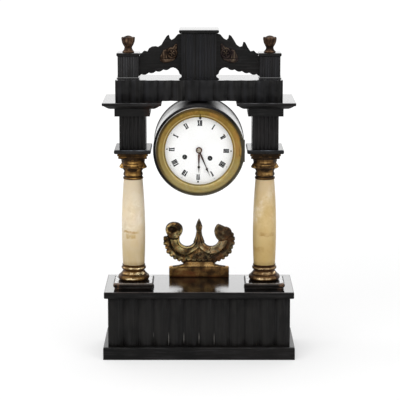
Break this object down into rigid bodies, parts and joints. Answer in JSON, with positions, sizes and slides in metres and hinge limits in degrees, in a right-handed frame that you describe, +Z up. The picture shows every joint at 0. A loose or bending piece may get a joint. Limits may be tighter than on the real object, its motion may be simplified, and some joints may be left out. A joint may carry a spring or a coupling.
{
  "type": "portico clock",
  "caption": "Two-column portico clock: black reeded case, alabaster columns with gilt capitals, a drum with brass bezel and white dial hung under the beam.",
  "frame": {"origin": "middle of the footprint on the floor", "axes": "+Z up, the dial faces -Y, +X is right as seen from the front"},
  "size_m": [0.316, 0.14, 0.5389],
  "materials": {
    "ebonised_wood": "black-stained polished wood with worn edges",
    "drum_black": "black lacquered drum",
    "alabaster": "polished cream alabaster with brown veins",
    "gilt": "rubbed and darkened gilding",
    "copper_gilt": "dark copper-brown gilding",
    "bezel_brass": "aged lacquered brass",
    "movement_brass": "plain brass",
    "steel": "plain steel",
    "enamel": "white enamel",
    "glass": "clear glass",
    "hand_metal": "dark copper-coloured metal"
  },
  "bodies": {
    "case": {"base_plinth": "ebonised_wood", "base_front": "ebonised_wood", "base_side_left": "ebonised_wood", "base_side_right": "ebonised_wood", "base_back": "ebonised_wood", "base_top": "ebonised_wood", "column_plinth_left": "ebonised_wood", "column_plinth_right": "ebonised_wood", "column_base_left": "gilt", "column_base_right": "gilt", "column_shaft_left": "alabaster", "column_shaft_right": "alabaster", "capital_left": "gilt", "capital_right": "gilt", "abacus_left": "ebonised_wood", "abacus_right": "ebonised_wood", "rear_pillar_left": "ebonised_wood", "rear_pillar_right": "ebonised_wood", "pilaster_left": "ebonised_wood", "pilaster_right": "ebonised_wood", "cornice_left": "ebonised_wood", "cornice_right": "ebonised_wood", "beam": "ebonised_wood", "post_left": "ebonised_wood", "post_right": "ebonised_wood", "post_cap_left": "ebonised_wood", "post_cap_right": "ebonised_wood", "finial_left": "copper_gilt", "finial_right": "copper_gilt", "centre_block": "ebonised_wood", "centre_cap": "ebonised_wood", "crest_wing_left": "ebonised_wood", "crest_wing_right": "ebonised_wood", "wing_mount_left": "copper_gilt", "wing_mount_right": "copper_gilt", "scroll_ornament": "gilt", "drum_shell": "drum_black", "dial_ring": "bezel_brass", "dial": "enamel", "front_plate": "movement_brass", "back_plate": "movement_brass", "bell": "movement_brass"},
    "bezel": {"bezel": "bezel_brass", "dial_glass": "glass"},
    "rear_cover": {"rear_cover": "movement_brass"},
    "minute": {"minute_hand": "hand_metal", "cannon_pinion": "steel"},
    "hour": {"hour_hand": "hand_metal", "hour_wheel": "movement_brass"},
    "minute_wheel": {"minute_wheel": "movement_brass"},
    "centre_wheel": {"centre_wheel": "movement_brass"},
    "third_wheel": {"third_wheel": "movement_brass"},
    "escape_wheel": {"escape_wheel": "movement_brass"},
    "going_barrel": {"going_barrel": "movement_brass"},
    "going_arbor": {"going_arbor": "steel"},
    "strike_barrel": {"strike_barrel": "movement_brass"},
    "strike_arbor": {"strike_arbor": "steel"},
    "anchor": {"anchor": "steel"},
    "regulator": {"regulator_arbor": "steel"},
    "hammer": {"hammer": "steel"}
  },
  "joints": [
    {"name": "bezel_hinge", "type": "hinge", "parent": "case", "child": "bezel", "pos_m": [0.0721, -0.0602, 0.347], "axis": [0, 0, 1], "range_deg": [0, 110]},
    {"name": "rear_cover_hinge", "type": "hinge", "parent": "case", "child": "rear_cover", "pos_m": [-0.0721, 0.0645, 0.347], "axis": [0, 0, 1], "range_deg": [0, 110]},
    {"name": "minute_turn", "type": "hinge", "parent": "case", "child": "minute", "pos_m": [0, -0.05, 0.347], "axis": [0, 1, 0], "continuous": true},
    {"name": "hour_turn", "type": "hinge", "parent": "case", "child": "hour", "pos_m": [0, -0.05, 0.347], "axis": [0, 1, 0], "continuous": true},
    {"name": "minute_wheel_turn", "type": "hinge", "parent": "case", "child": "minute_wheel", "pos_m": [0, -0.046, 0.33], "axis": [0, 1, 0], "continuous": true},
    {"name": "third_wheel_turn", "type": "hinge", "parent": "case", "child": "third_wheel", "pos_m": [0.01, -0.02, 0.362], "axis": [0, 1, 0], "continuous": true},
    {"name": "centre_wheel_turn", "type": "hinge", "parent": "case", "child": "centre_wheel", "pos_m": [0, -0.02, 0.347], "axis": [0, 1, 0], "continuous": true},
    {"name": "escape_wheel_turn", "type": "hinge", "parent": "case", "child": "escape_wheel", "pos_m": [0, -0.02, 0.3722], "axis": [0, 1, 0], "continuous": true},
    {"name": "going_barrel_turn", "type": "hinge", "parent": "case", "child": "going_barrel", "pos_m": [-0.0232, -0.02, 0.3357], "axis": [0, 1, 0], "continuous": true},
    {"name": "going_winding", "type": "hinge", "parent": "case", "child": "going_arbor", "pos_m": [-0.0232, -0.02, 0.3357], "axis": [0, 1, 0], "range_deg": [0, 1800]},
    {"name": "strike_barrel_turn", "type": "hinge", "parent": "case", "child": "strike_barrel", "pos_m": [0.0179, -0.02, 0.3336], "axis": [0, 1, 0], "continuous": true},
    {"name": "strike_winding", "type": "hinge", "parent": "case", "child": "strike_arbor", "pos_m": [0.0179, -0.02, 0.3336], "axis": [0, 1, 0], "range_deg": [0, 1800]},
    {"name": "anchor_swing", "type": "hinge", "parent": "case", "child": "anchor", "pos_m": [0, -0.02, 0.3877], "axis": [0, 1, 0], "range_deg": [-2, 2]},
    {"name": "regulator_turn", "type": "hinge", "parent": "case", "child": "regulator", "pos_m": [0.002, -0.02, 0.4003], "axis": [0, 1, 0], "range_deg": [-720, 720]},
    {"name": "hammer_swing", "type": "hinge", "parent": "case", "child": "hammer", "pos_m": [0.034, 0.01, 0.359], "axis": [0, -1, 0], "range_deg": [0, 15]}
  ],
  "couplings": [
    {"joint": "hour_turn", "follows": "minute_turn", "ratio": 0.083333},
    {"joint": "minute_wheel_turn", "follows": "minute_turn", "ratio": -0.33333},
    {"joint": "centre_wheel_turn", "follows": "third_wheel_turn", "ratio": -0.11111},
    {"joint": "escape_wheel_turn", "follows": "third_wheel_turn", "ratio": -7.5},
    {"joint": "going_barrel_turn", "follows": "third_wheel_turn", "ratio": 0.015873}
  ]
}
